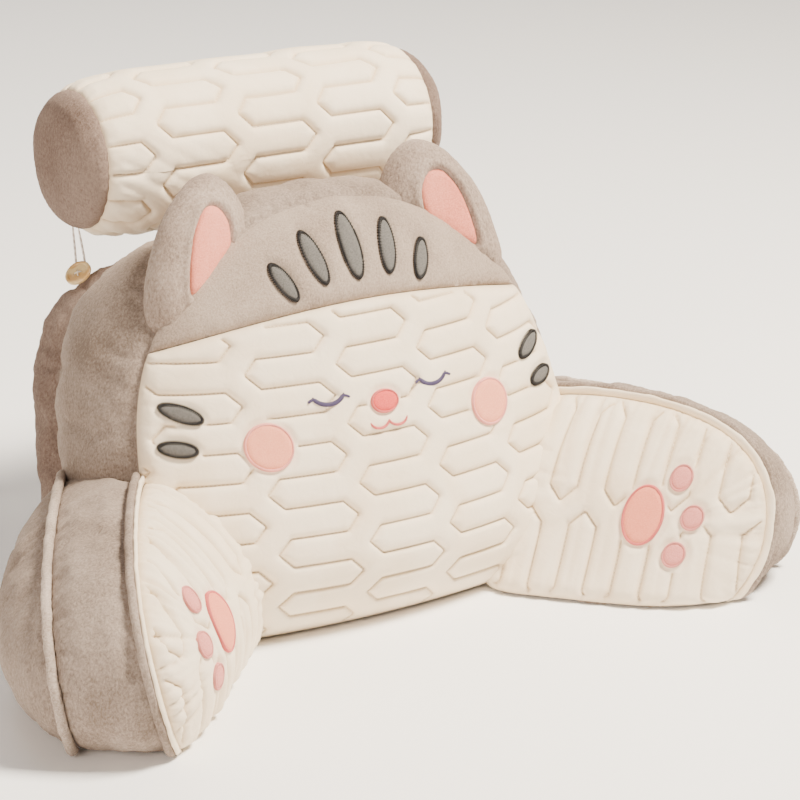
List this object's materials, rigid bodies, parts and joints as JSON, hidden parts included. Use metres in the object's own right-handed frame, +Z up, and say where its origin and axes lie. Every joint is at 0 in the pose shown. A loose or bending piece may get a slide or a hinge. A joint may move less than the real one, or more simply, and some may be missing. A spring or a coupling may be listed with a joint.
{
  "type": "reading pillow with arms",
  "caption": "Back-rest pillow with two splayed arms, plush ears and a button-on neck roll; cream quilted front over grey plush, for sitting up in bed.",
  "frame": {"origin": "middle of the object's box, on the surface it stands on", "axes": "+Z up, the sitter looks along -Y, and +X runs along the longest side, from one arm to the other"},
  "size_m": [0.8847, 0.5842, 0.5107],
  "materials": {
    "quilt_cream": "short plush quilted through a thin filling in columns of stitching, cream",
    "plush_grey": "short-pile plush, warm grey",
    "plush_pink": "short-pile plush, soft pink",
    "patch_grey": "cut plush patch, dark grey, sewn down",
    "patch_pink": "cut plush patch, pink, satin stitched edge",
    "patch_rose": "cut plush patch, deeper rose, satin stitched edge",
    "wood_button": "turned light wood, satin varnish",
    "elastic_white": "round woven elastic, off-white"
  },
  "bodies": {
    "root": {"face_panel": "quilt_cream", "arm_panel_left": "quilt_cream", "arm_panel_right": "quilt_cream", "inner_flange_left": "quilt_cream", "inner_flange_right": "quilt_cream", "neck_roll": "quilt_cream", "back_cushion": "plush_grey", "crown_panel": "plush_grey", "arm_left": "plush_grey", "arm_right": "plush_grey", "outer_flange_left": "plush_grey", "outer_flange_right": "plush_grey", "ear_left": "plush_grey", "ear_right": "plush_grey", "roll_end_left": "plush_grey", "roll_end_right": "plush_grey", "ear_lining_left": "plush_pink", "ear_lining_right": "plush_pink", "stripe_middle": "patch_grey", "stripe_left_inner": "patch_grey", "stripe_left_outer": "patch_grey", "stripe_left_upper": "patch_grey", "stripe_left_lower": "patch_grey", "stripe_right_inner": "patch_grey", "stripe_right_outer": "patch_grey", "stripe_right_upper": "patch_grey", "stripe_right_lower": "patch_grey", "cheek_left": "patch_pink", "cheek_right": "patch_pink", "paw_pad_left": "patch_pink", "paw_pad_right": "patch_pink", "nose": "patch_rose", "paw_toe_top_left": "patch_rose", "paw_toe_middle_left": "patch_rose", "paw_toe_low_left": "patch_rose", "paw_toe_top_right": "patch_rose", "paw_toe_middle_right": "patch_rose", "paw_toe_low_right": "patch_rose", "button_left": "wood_button", "button_right": "wood_button", "loop_left": "elastic_white", "loop_right": "elastic_white"}
  },
  "joints": []
}
